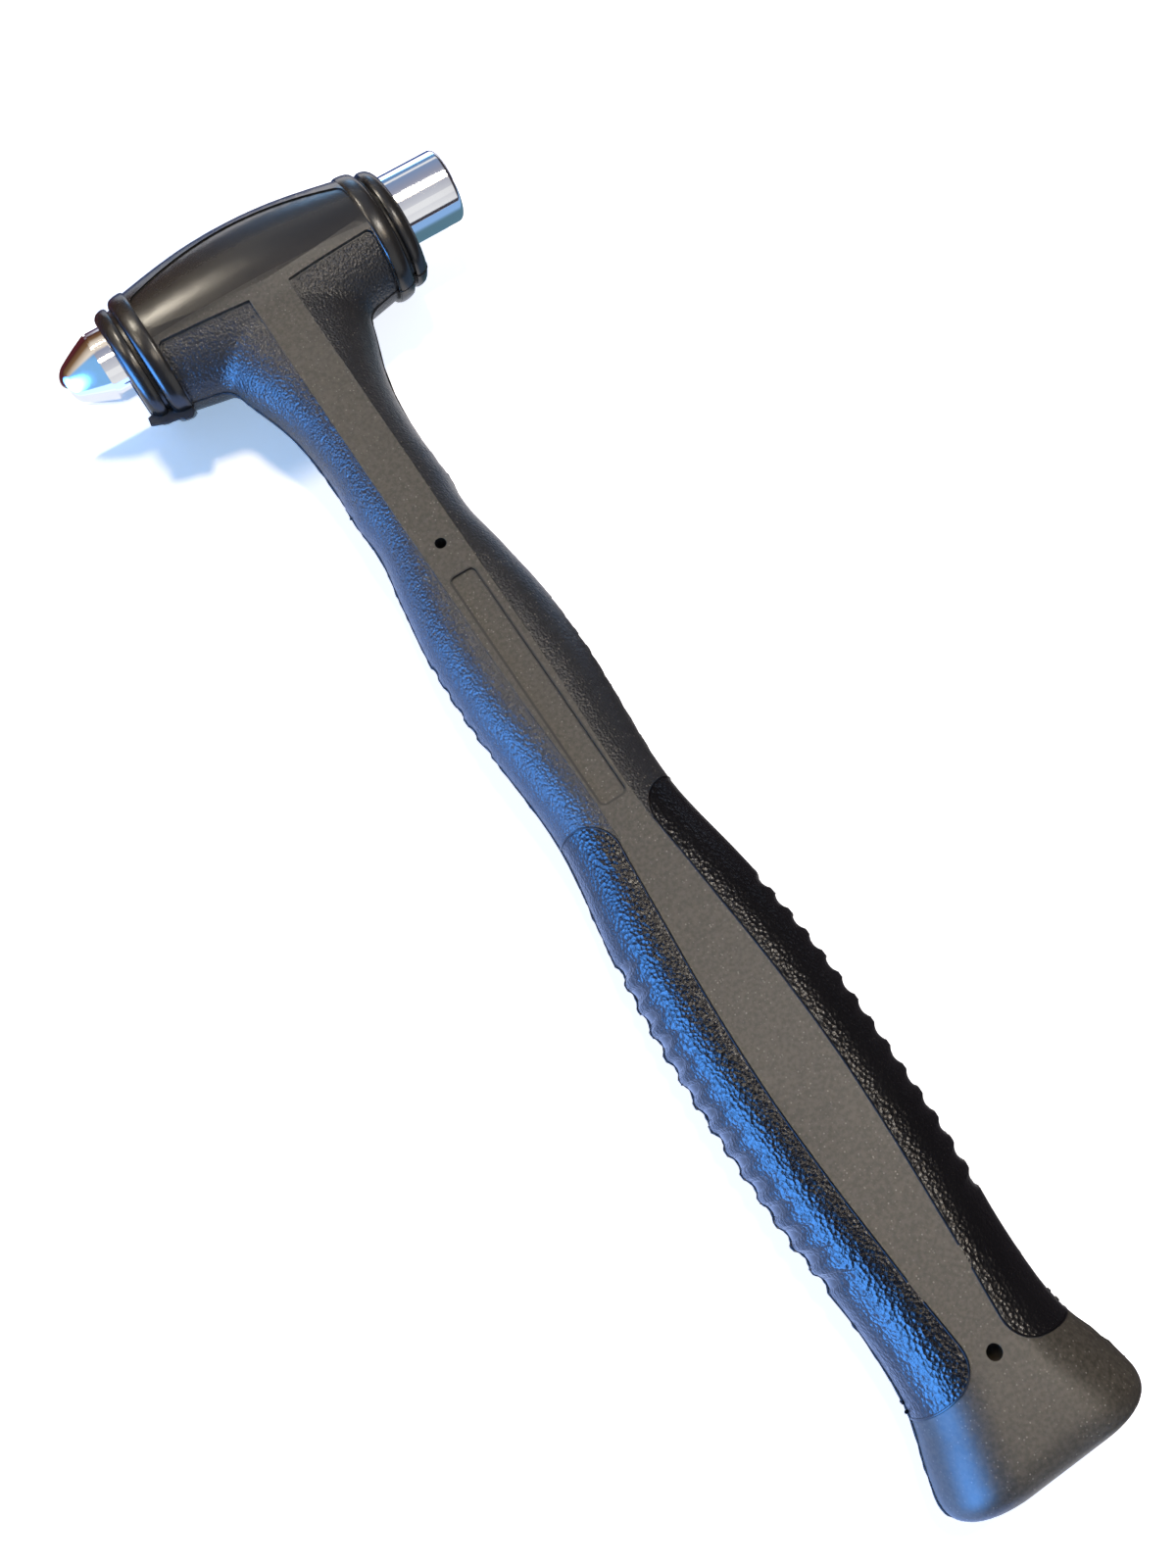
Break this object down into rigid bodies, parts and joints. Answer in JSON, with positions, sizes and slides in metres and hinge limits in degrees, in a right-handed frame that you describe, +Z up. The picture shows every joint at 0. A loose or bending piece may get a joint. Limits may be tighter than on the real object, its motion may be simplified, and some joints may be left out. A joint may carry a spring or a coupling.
{
  "type": "dead blow ball peen hammer",
  "caption": "Dead blow ball peen hammer: steel striking face and rounded peen in a moulded one-piece casing with a flat central strip, ribbed soft grips and a loose shot charge inside.",
  "frame": {"origin": "on the surface the hammer lies on, under the middle of its outline", "axes": "+X from the peen to the striking face, +Y from the butt of the handle to the top of the head, +Z up through the cheek that faces the camera"},
  "size_m": [0.1018, 0.3094, 0.028],
  "materials": {
    "casing_plastic": "satin moulded, warm dark grey",
    "grip_rubber": "grained, near black",
    "polished_steel": "polished",
    "tube_steel": "drawn",
    "weld_steel": "as welded",
    "shot_steel": "cut shot"
  },
  "bodies": {
    "hammer": {"casing": "casing_plastic", "grip_insert_face_side": "grip_rubber", "grip_insert_peen_side": "grip_rubber", "striking_face": "polished_steel", "ball_peen": "polished_steel", "shot_canister": "tube_steel", "face_weld": "weld_steel", "peen_weld": "weld_steel", "core_rod": "tube_steel", "rod_weld": "weld_steel"},
    "shot_charge": {"steel_shot": "shot_steel"}
  },
  "joints": [
    {"name": "shot_slide", "type": "slide", "parent": "hammer", "child": "shot_charge", "axis": [1, 0, 0], "range_m": [-0.004, 0.004]}
  ]
}
